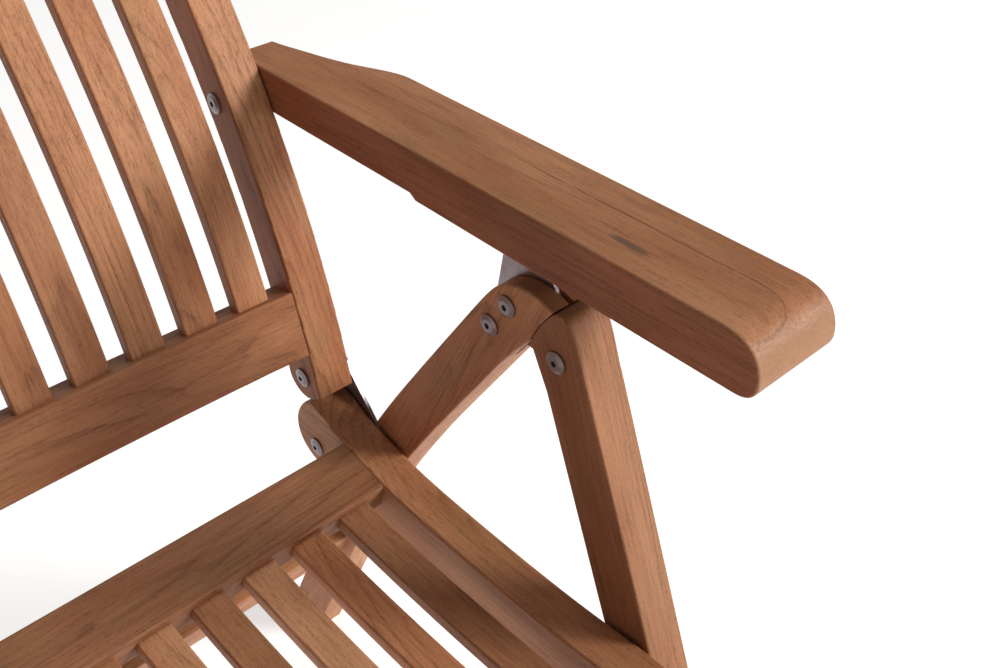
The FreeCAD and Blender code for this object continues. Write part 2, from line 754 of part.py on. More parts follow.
def underside_at(y):
    """Height of the armrest underside in front of its step."""
    share = (STEP_FRONT_Y - y) / (STEP_FRONT_Y - ARM_FRONT_Y)
    return ARM_UNDER_STEP_Z + share * (ARM_UNDER_FRONT_Z - ARM_UNDER_STEP_Z)


def arm_outline():
    """Side view of the armrest with a rounded nose."""
    nose_start = (-270.0, ARM_TOP_Z)
    nose = [
        nose_start, (-276.0, ARM_TOP_Z), (-283.0, ARM_TOP_Z), (-291.0, 721.4), (-300.0, 720.2), (-308.5, 716.6), (-314.5, 710.8), (-318.0, 703.5),
        (-319.4, 695.0), (-318.2, 687.5), (-313.0, 681.6), (-305.0, underside_at(-305.0) + 0.1),
        (-298.0, underside_at(-298.0)), (-291.0, underside_at(-291.0)), (-284.0, underside_at(-284.0)),
    ]
    return [
        line((ARM_REAR_Y, ARM_TOP_Z), nose_start),
        spline(nose),
        line(nose[-1], (STEP_FRONT_Y, underside_at(STEP_FRONT_Y))),
        line((STEP_FRONT_Y, underside_at(STEP_FRONT_Y)), (STEP_REAR_Y, ARM_UNDER_REAR_Z)),
        line((STEP_REAR_Y, ARM_UNDER_REAR_Z), (ARM_REAR_Y, ARM_UNDER_REAR_Z)),
        line((ARM_REAR_Y, ARM_UNDER_REAR_Z), (ARM_REAR_Y, ARM_TOP_Z)),
    ]


TAPER_CURVE = [
    (74.0, 52.0), (73.2, 68.0), (70.0, 84.0), (62.0, 104.0), (54.5, 122.0), (47.5, 144.0),
    (41.5, 168.0), (36.5, 188.0), (34.5, 199.0),
]


def taper_outline(side):
    """Waste outside the tapered rear of the armrest, in plan."""
    curve = TAPER_CURVE if side == LEFT else [(DIM["arm_width"] - x, y) for x, y in TAPER_CURVE]
    outer = 90.0 if side == LEFT else DIM["arm_width"] - 90.0
    first = curve[0]
    last = curve[-1]
    return [
        spline(curve), line(last, (last[0], 230.0)), line((last[0], 230.0), (outer, 230.0)),
        line((outer, 230.0), (outer, first[1])), line((outer, first[1]), first),
    ]


def groove_outline(side):
    """Plan of the groove that houses the head of the hinge plate."""
    middle = LEG_MIDDLE_X - DIM["arm_inner"]
    if side == RIGHT:
        middle = DIM["arm_width"] - middle
    half = 0.5 * GROOVE_WIDTH
    return polygon([
        (middle - half, GROOVE_FRONT_Y), (middle + half, GROOVE_FRONT_Y),
        (middle + half, GROOVE_REAR_Y), (middle - half, GROOVE_REAR_Y),
    ])


ARM_BOLT_DEPTH = 46.0


def armrest(label, side):
    """Armrest board: profiled, tapered, grooved and drilled for its pivot."""
    body = new_body(label, side_expression(side, "arm_inner", "arm_width"))
    sketch = add_sketch(body, label + "_profile", "YZ_Plane", arm_outline())
    board = add_pad(body, sketch, label + "_board", bound("arm_width"))

    def side_edges(edge):
        return edge.BoundBox.XLength < 0.01

    ease_edges(body, board, "edge_radius", side_edges)
    taper = add_slot(body, label + "_taper", "XY_Plane", taper_outline(side), 600.0, 200.0)

    def taper_edges(edge):
        box = edge.BoundBox
        return box.XLength > 20.0 and box.YLength > 100.0 and box.ZLength < 0.5

    ease_edges(body, taper, "edge_radius", taper_edges)
    add_slot(body, label + "_groove", "XY_Plane", groove_outline(side), 600.0, GROOVE_TOP_Z - 600.0)
    before = body.Shape.Volume
    start = 0.0 if side == LEFT else DIM["arm_width"] - ARM_BOLT_DEPTH
    drill = add_sketch(body, label + "_drill", "YZ_Plane", [], [hole(ARM_PIVOT)], offset=start)
    pocket = body.newObject("PartDesign::Pocket", label + "_pivot_hole")
    pocket.Profile = drill
    pocket.Length = ARM_BOLT_DEPTH
    pocket.Reversed = True
    doc.recompute()
    if body.Shape.Volume > before - 1.0:
        raise RuntimeError(label + " pivot hole removed nothing")
    return body


def rack_outline():
    """Plan of the rack strip about its own middle line."""
    half = 0.5 * RACK_WIDTH
    return polygon([(-half, RACK_FRONT_Y), (half, RACK_FRONT_Y), (half, RACK_REAR_Y), (-half, RACK_REAR_Y)])


def rack_strip(label, side):
    """Notched steel strip on the underside of the armrest."""
    top_left = underside_at(RACK_REAR_Y)
    top_right = underside_at(RACK_FRONT_Y)
    slope = math.degrees(math.atan2(top_left - top_right, RACK_REAR_Y - RACK_FRONT_Y))
    strip = doc.addObject("Part::Box", label + "_strip")
    strip.Length = RACK_WIDTH
    strip.Width = RACK_REAR_Y - RACK_FRONT_Y
    strip.Height = RACK_THICKNESS
    slot = doc.addObject("Part::Box", label + "_slot")
    slot.Length = GROOVE_WIDTH
    slot.Width = GROOVE_REAR_Y - GROOVE_FRONT_Y
    slot.Height = 3.0 * RACK_THICKNESS
    middle = side * LEG_MIDDLE_X
    strip.Placement.Base = FreeCAD.Vector(middle - 0.5 * RACK_WIDTH, RACK_FRONT_Y, 0.0)
    slot.Placement.Base = FreeCAD.Vector(middle - 0.5 * GROOVE_WIDTH, GROOVE_FRONT_Y, -RACK_THICKNESS)
    tools = [slot]
    for number, station in enumerate(NOTCH_STATIONS):
        notch = doc.addObject("Part::Box", "%s_notch_%d" % (label, number + 1))
        notch.Length = NOTCH_WIDTH
        notch.Width = NOTCH_LENGTH
        notch.Height = 3.0 * RACK_THICKNESS
        notch.Placement.Base = FreeCAD.Vector(middle - 0.5 * NOTCH_WIDTH, station - 0.5 * NOTCH_LENGTH,
                                              -RACK_THICKNESS)
        tools.append(notch)
    cutters = doc.addObject("Part::MultiFuse", label + "_cutters")
    cutters.Shapes = tools
    rack = doc.addObject("Part::Cut", label)
    rack.Label = label
    rack.Base = strip
    rack.Tool = cutters
    turn = FreeCAD.Rotation(FreeCAD.Vector(1, 0, 0), slope)
    rack.Placement = FreeCAD.Placement(
        FreeCAD.Vector(0, DIM["plan_shift"], top_right - RACK_THICKNESS), turn,
        FreeCAD.Vector(0, RACK_FRONT_Y, 0))
    return rack


extra_nodes = []
for side_name, side in SIDES:
    armrest("armrest_" + side_name, side)
    extra_nodes.append(rack_strip("arm_rack_" + side_name, side))


# ---------------------------------------------------------------- fasteners

NUT_DIAMETER = 15.0
NUT_HEIGHT = 3.6
HEAD_EDGE = 1.6
SOCKET_DEPTH = 2.2


def bolt_shape(point, head_x, outward, end_x, with_nut):
    """One connector bolt lying along X, head towards the outward sign."""
    head_height = DIM["bolt_head_height"]
    direction = FreeCAD.Vector(outward, 0, 0)
    inward = FreeCAD.Vector(-outward, 0, 0)
    along_y = point[0] + DIM["plan_shift"]
    base = FreeCAD.Vector(head_x, along_y, point[1])
    rim = Part.makeCylinder(DIM["bolt_head"] / 2.0, HEAD_EDGE, base, direction)
    crown_base = FreeCAD.Vector(head_x + outward * HEAD_EDGE, along_y, point[1])
    crown = Part.makeCone(DIM["bolt_head"] / 2.0, DIM["bolt_head"] / 2.0 - 3.2,
                          head_height - HEAD_EDGE, crown_base, direction)
    shank = Part.makeCylinder(DIM["bolt_shank"] / 2.0, abs(end_x - head_x), base, inward)
    solid = rim.fuse(crown).fuse(shank)
    if with_nut:
        nut_base = FreeCAD.Vector(end_x, along_y, point[1])
        nut = Part.makeCylinder(NUT_DIAMETER / 2.0, NUT_HEIGHT, nut_base, inward)
        solid = solid.fuse(nut)
    socket_radius = DIM["hex_socket"] / math.sqrt(3.0)
    top_x = head_x + outward * head_height
    corners = []
    for corner in range(7):
        angle = math.radians(60.0 * corner)
        corners.append(FreeCAD.Vector(top_x, along_y + socket_radius * math.cos(angle),
                                      point[1] + socket_radius * math.sin(angle)))
    face = Part.Face(Part.makePolygon(corners))
    socket = face.extrude(FreeCAD.Vector(-outward * SOCKET_DEPTH, 0, 0))
    return solid.cut(socket).removeSplitter()


def bolt_group(label, specifications):
    """Identical fasteners kept together as one node of separate solids."""
    group = doc.addObject("Part::Feature", label)
    group.Label = label
    group.Shape = Part.makeCompound([bolt_shape(*item) for item in specifications])
    extra_nodes.append(group)
    return group


RAIL_INNER = DIM["seat_half_width"]
RAIL_OUTER = RAIL_INNER + DIM["rail_thickness"]
NUT_GAP = 0.3
PLATE_OUTER = DIM["corner_plate_inner"] + DIM["corner_plate_thickness"] + NUT_GAP
LEG_INNER = DIM["leg_inner"]
LEG_OUTER = LEG_INNER + DIM["leg_thickness"]
ARM_BOLT_END = DIM["arm_inner"] + ARM_BOLT_DEPTH - 2.0

bolt_group("back_pivot_bolts", [
    (BACK_PIVOT, side * RAIL_INNER, -side, side * PLATE_OUTER, True) for name, side in SIDES])
bolt_group("seat_pivot_bolts", [
    (SEAT_PIVOT, side * RAIL_INNER, -side, side * PLATE_OUTER, True) for name, side in SIDES])
bolt_group("arm_pivot_bolts", [
    (ARM_PIVOT, side * RAIL_INNER, -side, side * ARM_BOLT_END, False) for name, side in SIDES])
bolt_group("leg_hinge_bolts", [
    (LEG_HINGE, side * LEG_INNER, -side, side * LEG_OUTER, True) for name, side in SIDES])
bolt_group("hinge_plate_bolts", [
    (point, side * LEG_INNER, -side, side * LEG_OUTER, True)
    for name, side in SIDES for point in (HINGE_BOLT_UPPER, HINGE_BOLT_LOWER)])
bolt_group("corner_plate_bolts", [
    (PLATE_BOLT, side * LEG_OUTER, side, side * DIM["corner_plate_inner"], False)
    for name, side in SIDES])

pins = doc.addObject("Part::Feature", "lock_pins")
pins.Label = "lock_pins"
pins.Shape = Part.makeCompound([
    Part.makeCylinder(PIN_DIAMETER / 2.0, PIN_LENGTH,
                      FreeCAD.Vector(side * LEG_MIDDLE_X - PIN_LENGTH / 2.0,
                                     LOCK_PIN[0] + DIM["plan_shift"], LOCK_PIN[1]),
                      FreeCAD.Vector(1, 0, 0))
    for name, side in SIDES])
extra_nodes.append(pins)

screws = doc.addObject("Part::Feature", "corner_plate_screws")
screws.Label = "corner_plate_screws"
screws.Shape = Part.makeCompound([
    Part.makeCylinder(SCREW_SHANK / 2.0, 28.0,
                      FreeCAD.Vector(side * DIM["corner_plate_inner"],
                                     PLATE_SCREW[0] + DIM["plan_shift"], PLATE_SCREW[1]),
                      FreeCAD.Vector(side, 0, 0))
    for name, side in SIDES])
extra_nodes.append(screws)


# ---------------------------------------------------------------- checks and export

doc.recompute()
nodes = [item for item in doc.Objects if item.TypeId == "PartDesign::Body"] + extra_nodes
for item in doc.Objects:
    if "Invalid" in item.State or "Error" in item.State:
        raise RuntimeError("%s is in state %s" % (item.Label, item.State))
for item in nodes:
    if item.Shape.isNull() or not item.Shape.isValid():
        raise RuntimeError(item.Label + " has no valid shape")
    if item.Shape.Volume < 1.0:
        raise RuntimeError(item.Label + " is empty")

overall = FreeCAD.BoundBox()
for item in nodes:
    overall.add(item.Shape.optimalBoundingBox(True, False))
print("overall Y from %.3f to %.3f, middle %.3f" % (overall.YMin, overall.YMax, overall.Center.y))
print("overall X from %.3f to %.3f" % (overall.XMin, overall.XMax))
print("overall Z from %.3f to %.3f" % (overall.ZMin, overall.ZMax))

os.makedirs(OUTPUT_DIRECTORY, exist_ok=True)
for item in nodes:
    item.Shape.exportStep(os.path.join(OUTPUT_DIRECTORY, item.Label + ".step"))
print("nodes written: %d" % len(nodes))
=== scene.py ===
"""Finishes, eased boards and studio for a slatted teak armchair that reclines and folds."""

import logging
import math
from dataclasses import dataclass, field
from enum import Enum
from typing import Optional, Union

import bpy
from mathutils import Euler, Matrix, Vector


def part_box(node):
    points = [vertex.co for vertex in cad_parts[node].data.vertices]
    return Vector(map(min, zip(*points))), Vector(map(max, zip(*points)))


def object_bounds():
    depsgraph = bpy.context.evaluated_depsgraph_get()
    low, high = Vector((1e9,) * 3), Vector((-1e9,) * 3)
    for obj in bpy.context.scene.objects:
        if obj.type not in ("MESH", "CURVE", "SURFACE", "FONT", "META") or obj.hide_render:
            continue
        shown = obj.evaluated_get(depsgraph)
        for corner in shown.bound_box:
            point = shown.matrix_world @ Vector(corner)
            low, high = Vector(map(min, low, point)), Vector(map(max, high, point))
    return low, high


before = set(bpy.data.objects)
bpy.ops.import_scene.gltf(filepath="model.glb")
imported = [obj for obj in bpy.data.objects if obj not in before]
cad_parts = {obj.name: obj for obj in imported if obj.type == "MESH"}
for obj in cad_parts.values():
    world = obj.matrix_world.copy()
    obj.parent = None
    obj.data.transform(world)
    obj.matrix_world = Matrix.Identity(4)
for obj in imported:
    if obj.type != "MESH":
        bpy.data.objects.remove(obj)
CAD_LOW, CAD_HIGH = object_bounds()

LOG = logging.getLogger("chair")

Colour = tuple[float, float, float]
Socket = bpy.types.NodeSocket
Value = Union[Socket, float, int, tuple]


class Figure(Enum):
    """How a board was sawn: offset of the log's heart from the board, in metres."""

    FLAT = (0.012, -0.055)
    RIFT = (0.060, -0.070)
    QUARTER = (0.110, -0.012)


class Wiring:
    """Adds and joins shader nodes in one node tree."""

    def __init__(self, tree: bpy.types.NodeTree) -> None:
        """Keep the tree that the nodes go into."""
        self.tree = tree

    def add(self, kind: str, **settings: object) -> bpy.types.Node:
        """Add a node.

        Args:
            kind: Blender's node type.
            settings: properties set on the node.

        Returns:
            The new node.
        """
        node = self.tree.nodes.new(kind)
        for name, value in settings.items():
            setattr(node, name, value)
        return node

    def put(self, socket: Socket, value: Value) -> None:
        """Link a socket to another, or set its constant.

        Args:
            socket: the input.
            value: an output socket, a number or a tuple.
        """
        if isinstance(value, bpy.types.NodeSocket):
            self.tree.links.new(value, socket)
        elif isinstance(value, tuple) and len(value) == 3 and socket.type == "RGBA":
            socket.default_value = (*value, 1.0)
        else:
            socket.default_value = value

    def math(self, operation: str, first: Value, second: Value = 0.0, third: Value = 0.0,
             clamp: bool = False) -> Socket:
        """Add a Math node.

        Args:
            operation: the node's operation.
            first: first input.
            second: second input.
            third: third input, used by some operations.
            clamp: keep the result between 0 and 1.

        Returns:
            The result socket.
        """
        node = self.add("ShaderNodeMath", operation=operation, use_clamp=clamp)
        for socket, value in zip(node.inputs, (first, second, third)):
            self.put(socket, value)
        return node.outputs[0]

    def vector(self, operation: str, first: Value, second: Value = (0.0, 0.0, 0.0)) -> Socket:
        """Add a Vector Math node.

        Args:
            operation: the node's operation.
            first: first vector.
            second: second vector, or the scale for SCALE.

        Returns:
            The vector result, or the number for LENGTH and DOT_PRODUCT.
        """
        node = self.add("ShaderNodeVectorMath", operation=operation)
        self.put(node.inputs[0], first)
        if operation == "SCALE":
            self.put(node.inputs["Scale"], second)
        elif operation != "LENGTH":
            self.put(node.inputs[1], second)
        single = operation in ("LENGTH", "DOT_PRODUCT")
        return node.outputs["Value" if single else "Vector"]

    def noise(self, vector: Value, detail: float = 2.0, roughness: float = 0.5,
              colour: bool = False) -> Socket:
        """Add fractal noise at unit scale.

        Args:
            vector: where it is read.
            detail: number of octaves.
            roughness: strength of the finer octaves.
            colour: give the three-part output.

        Returns:
            The noise socket.
        """
        node = self.add("ShaderNodeTexNoise", noise_dimensions="3D")
        self.put(node.inputs["Vector"], vector)
        self.put(node.inputs["Scale"], 1.0)
        self.put(node.inputs["Detail"], detail)
        self.put(node.inputs["Roughness"], roughness)
        return node.outputs["Color" if colour else "Fac"]

    def band(self, value: Value, low: float, high: float) -> Socket:
        """Smooth step from 0 at low to 1 at high.

        Args:
            value: the input.
            low: where the result is 0.
            high: where the result is 1.

        Returns:
            The stepped socket.
        """
        node = self.add("ShaderNodeMapRange", interpolation_type="SMOOTHSTEP")
        self.put(node.inputs["Value"], value)
        self.put(node.inputs["From Min"], low)
        self.put(node.inputs["From Max"], high)
        return node.outputs["Result"]

    def mix(self, share: Value, first: Value, second: Value, blend: str = "MIX") -> Socket:
        """Blend two colours.

        Args:
            share: how much of the second.
            first: first colour.
            second: second colour.
            blend: blend mode.

        Returns:
            The colour socket.
        """
        node = self.add("ShaderNodeMix", data_type="RGBA", blend_type=blend)
        self.put(node.inputs["Factor"], share)
        self.put(node.inputs[6], first)
        self.put(node.inputs[7], second)
        return node.outputs[2]

    def ramp(self, value: Value, stops: tuple[tuple[float, float], ...]) -> Socket:
        """Grey ramp through given stops.

        Args:
            value: the input.
            stops: pairs of position and brightness.

        Returns:
            The colour socket.
        """
        node = self.add("ShaderNodeValToRGB")
        points = node.color_ramp.elements
        while len(points) < len(stops):
            points.new(0.5)
        for point, (position, level) in zip(points, stops):
            point.position = position
            point.color = (level, level, level, 1.0)
        self.put(node.inputs["Fac"], value)
        return node.outputs["Color"]


@dataclass(frozen=True)
class GroupSocket:
    """One named input or output of a shader node group."""

    name: str
    kind: str
    default: Optional[Value] = None
    output: bool = False


def new_group(name: str, sockets: tuple[GroupSocket, ...]) -> tuple[Wiring, bpy.types.Node, bpy.types.Node]:
    """Start a shader node group.

    Args:
        name: the group's name.
        sockets: its inputs and outputs.

    Returns:
        The wiring of the group, its input node and its output node.
    """
    tree = bpy.data.node_groups.new(name, "ShaderNodeTree")
    for item in sockets:
        side = "OUTPUT" if item.output else "INPUT"
        socket = tree.interface.new_socket(name=item.name, in_out=side, socket_type="NodeSocket" + item.kind)
        if item.default is not None:
            socket.default_value = item.default
    wiring = Wiring(tree)
    return wiring, wiring.add("NodeGroupInput"), wiring.add("NodeGroupOutput")


TEAK_SOCKETS = (
    GroupSocket("Board", "Vector"),
    GroupSocket("Facing", "Vector"),
    GroupSocket("Ring Width", "Float", 0.005),
    GroupSocket("Ring Contrast", "Float", 0.35),
    GroupSocket("Pale", "Color"),
    GroupSocket("Body", "Color"),
    GroupSocket("Dark", "Color"),
    GroupSocket("Olive", "Color"),
    GroupSocket("Color", "Color", output=True),
    GroupSocket("Roughness", "Float", output=True),
    GroupSocket("Height", "Float", output=True),
)


def teak_figure() -> bpy.types.NodeTree:
    """Build the solid teak figure: growth rings, fibres, pores, patches and end grain.

    Returns:
        The node group's tree.
    """
    w, given, out = new_group("teak_figure", TEAK_SOCKETS)
    board = given.outputs["Board"]
    drift = w.noise(w.vector("MULTIPLY", board, (9.0, 9.0, 3.2)), 2.0, 0.45, colour=True)
    drift = w.vector("SCALE", w.vector("SUBTRACT", drift, (0.5, 0.5, 0.5)), 0.034)
    bent = w.vector("MULTIPLY", w.vector("ADD", board, drift), (1.0, 1.0, 0.05))
    turns = w.math("DIVIDE", w.vector("LENGTH", bent), given.outputs["Ring Width"])
    pacing = w.noise(w.vector("MULTIPLY", bent, (70.0, 70.0, 9.0)), 1.0, 0.4)
    turns = w.math("ADD", turns, w.math("MULTIPLY", pacing, 2.2))
    fraction = w.math("FRACT", turns)
    late = w.ramp(fraction, ((0.0, 0.15), (0.35, 0.0), (0.75, 0.35), (0.94, 1.0), (1.0, 0.15)))
    strength = w.noise(w.vector("MULTIPLY", board, (30.0, 30.0, 2.4)), 1.0, 0.5)
    strength = w.band(strength, 0.34, 0.66)
    rings = w.math("MULTIPLY", late, w.math("MULTIPLY", strength, given.outputs["Ring Contrast"]))
    fibre = w.noise(w.vector("MULTIPLY", board, (560.0, 560.0, 17.0)), 5.0, 0.70)
    fleck = w.noise(w.vector("MULTIPLY", board, (1900.0, 1900.0, 210.0)), 2.0, 0.6)
    pores = w.math("MULTIPLY", w.band(fleck, 0.54, 0.66), w.band(fibre, 0.36, 0.60))
    grit = w.noise(w.vector("MULTIPLY", board, (2400.0, 2400.0, 700.0)), 2.0, 0.6)
    patch = w.noise(w.vector("MULTIPLY", board, (20.0, 20.0, 5.0)), 3.0, 0.55)
    tinge = w.noise(w.vector("MULTIPLY", board, (24.0, 24.0, 6.5)), 3.0, 0.55)
    colour = w.mix(w.band(patch, 0.30, 0.66), given.outputs["Body"], given.outputs["Pale"])
    colour = w.mix(w.math("MULTIPLY", w.band(tinge, 0.50, 0.70), 0.72), colour, given.outputs["Olive"])
    shade = w.math("ADD", rings, w.math("MULTIPLY", w.band(fibre, 0.42, 0.72), 0.30))
    shade = w.math("ADD", shade, w.math("MULTIPLY", pores, 0.36))
    shade = w.math("ADD", shade, w.math("MULTIPLY", w.band(grit, 0.42, 0.72), 0.22), clamp=True)
    colour = w.mix(shade, colour, given.outputs["Dark"])
    sheen = w.math("MULTIPLY", w.math("SUBTRACT", 1.0, w.band(fibre, 0.28, 0.46)), 0.28)
    colour = w.mix(sheen, colour, given.outputs["Pale"])
    across = w.add("ShaderNodeSeparateXYZ")
    w.put(across.inputs[0], given.outputs["Facing"])
    ends = w.band(w.math("ABSOLUTE", across.outputs["Z"]), 0.45, 0.90)
    end_rings = w.mix(w.math("ADD", w.math("MULTIPLY", late, 0.16), 0.22), given.outputs["Olive"],
                      given.outputs["Dark"])
    colour = w.mix(w.math("MULTIPLY", ends, 0.62), colour, end_rings)
    w.put(out.inputs["Color"], colour)
    dull = w.math("ADD", w.math("MULTIPLY", fibre, 0.16), w.math("MULTIPLY", pores, 0.15))
    w.put(out.inputs["Roughness"], w.math("ADD", 0.44, dull))
    relief = w.math("SUBTRACT", w.math("MULTIPLY", fibre, 0.5), w.math("MULTIPLY", pores, 0.7))
    relief = w.math("ADD", relief, w.math("MULTIPLY", grit, 0.12))
    w.put(out.inputs["Height"], w.math("SUBTRACT", relief, w.math("MULTIPLY", rings, 0.20)))
    return w.tree


LOOP_HALF_WIDTH = 0.0265
LOOP_REACH = 0.0375
LOOP_SQUARENESS = 2.6
STREAK_CENTRE = (0.0015, 0.071, 0.0)
LINE_COLOUR: Colour = (0.080, 0.040, 0.025)
LINE_STRENGTH = 0.66
STREAK_COLOUR: Colour = (0.100, 0.060, 0.044)
STREAK_STRENGTH = 0.74

MARK_SOCKETS = (
    GroupSocket("Place", "Vector"),
    GroupSocket("Line", "Float", output=True),
    GroupSocket("Streak", "Float", output=True),
)


def arm_markings() -> bpy.types.NodeTree:
    """Build the masks of the dark growth line and the mineral streak on an armrest.

    Returns:
        The node group's tree. Place is in metres from the middle of the line's loop.
    """
    w, given, out = new_group("arm_markings", MARK_SOCKETS)
    wobble = w.noise(w.vector("MULTIPLY", given.outputs["Place"], (40.0, 26.0, 40.0)), 3.0, 0.55, colour=True)
    wobble = w.vector("MULTIPLY", w.vector("SUBTRACT", wobble, (0.5, 0.5, 0.5)), (0.0035, 0.007, 0.0))
    place = w.vector("ADD", given.outputs["Place"], wobble)
    parts = w.add("ShaderNodeSeparateXYZ")
    w.put(parts.inputs[0], place)
    x, y = parts.outputs["X"], parts.outputs["Y"]
    ahead = w.math("MAXIMUM", w.math("MULTIPLY", y, -1.0), 0.0)
    sideways = w.math("POWER", w.math("DIVIDE", w.math("ABSOLUTE", x), LOOP_HALF_WIDTH), LOOP_SQUARENESS)
    forwards = w.math("POWER", w.math("DIVIDE", ahead, LOOP_REACH), LOOP_SQUARENESS)
    reach = w.math("SQRT", w.math("ADD", sideways, forwards))
    off = w.math("ABSOLUTE", w.math("SUBTRACT", reach, 1.0))
    line = w.math("SUBTRACT", 1.0, w.band(off, 0.010, 0.042))
    broken = w.noise(w.vector("MULTIPLY", given.outputs["Place"], (300.0, 45.0, 1.0)), 2.0, 0.6)
    line = w.math("MULTIPLY", line, w.math("ADD", 0.35, w.band(broken, 0.30, 0.50)), clamp=True)
    nose_fade = w.math("SUBTRACT", 1.0, w.math("MULTIPLY", w.band(ahead, 0.004, 0.030), 0.55))
    near_side = w.math("MULTIPLY", w.band(x, -0.024, -0.004), nose_fade)
    rear_fade = w.math("SUBTRACT", 1.0, w.band(y, 0.155, 0.235))
    line = w.math("MULTIPLY", line, w.math("MULTIPLY", near_side, rear_fade))
    w.put(out.inputs["Line"], line)
    local = w.vector("MULTIPLY", w.vector("SUBTRACT", place, STREAK_CENTRE), (210.0, 46.0, 0.0))
    far = w.vector("LENGTH", local)
    grain = w.noise(w.vector("MULTIPLY", given.outputs["Place"], (620.0, 30.0, 10.0)), 2.0, 0.6)
    streak = w.math("SUBTRACT", 1.0, w.band(w.math("ADD", far, w.math("MULTIPLY", grain, 1.1)), 0.95, 1.50))
    w.put(out.inputs["Streak"], streak)
    return w.tree


STEEL_SOCKETS = (
    GroupSocket("Place", "Vector"),
    GroupSocket("Clean", "Color"),
    GroupSocket("Worn", "Color"),
    GroupSocket("Along", "Vector"),
    GroupSocket("Color", "Color", output=True),
    GroupSocket("Roughness", "Float", output=True),
    GroupSocket("Height", "Float", output=True),
)


def steel_surface() -> bpy.types.NodeTree:
    """Build the stainless surface: brushing, fine speckle and handling marks.

    Returns:
        The node group's tree.
    """
    w, given, out = new_group("steel_surface", STEEL_SOCKETS)
    brushed = w.noise(w.vector("MULTIPLY", given.outputs["Place"], given.outputs["Along"]), 3.0, 0.6)
    speckle = w.noise(w.vector("MULTIPLY", given.outputs["Place"], (1700.0, 1700.0, 1700.0)), 3.0, 0.7)
    smudge = w.noise(w.vector("MULTIPLY", given.outputs["Place"], (120.0, 120.0, 120.0)), 2.0, 0.5)
    marks = w.math("ADD", w.math("MULTIPLY", w.band(speckle, 0.50, 0.72), 0.5),
                   w.math("MULTIPLY", w.band(smudge, 0.45, 0.75), 0.35))
    w.put(out.inputs["Color"], w.mix(marks, given.outputs["Clean"], given.outputs["Worn"]))
    dull = w.math("ADD", w.math("MULTIPLY", brushed, 0.16), w.math("MULTIPLY", speckle, 0.10))
    w.put(out.inputs["Roughness"], w.math("ADD", 0.22, w.math("ADD", dull, w.math("MULTIPLY", smudge, 0.08))))
    relief = w.math("ADD", w.math("MULTIPLY", brushed, 0.6), w.math("MULTIPLY", speckle, 0.4))
    w.put(out.inputs["Height"], relief)
    return w.tree


TEAK = teak_figure()
MARKINGS = arm_markings()
STEEL = steel_surface()


def new_material(name: str) -> tuple[bpy.types.Material, Wiring, bpy.types.Node]:
    """Start a material with a Principled BSDF joined to its output.

    Args:
        name: the material's name.

    Returns:
        The material, its wiring and the shader node.
    """
    material = bpy.data.materials.new(name)
    material.use_nodes = True
    material.node_tree.nodes.clear()
    w = Wiring(material.node_tree)
    shader = w.add("ShaderNodeBsdfPrincipled")
    output = w.add("ShaderNodeOutputMaterial")
    w.put(output.inputs["Surface"], shader.outputs["BSDF"])
    return material, w, shader


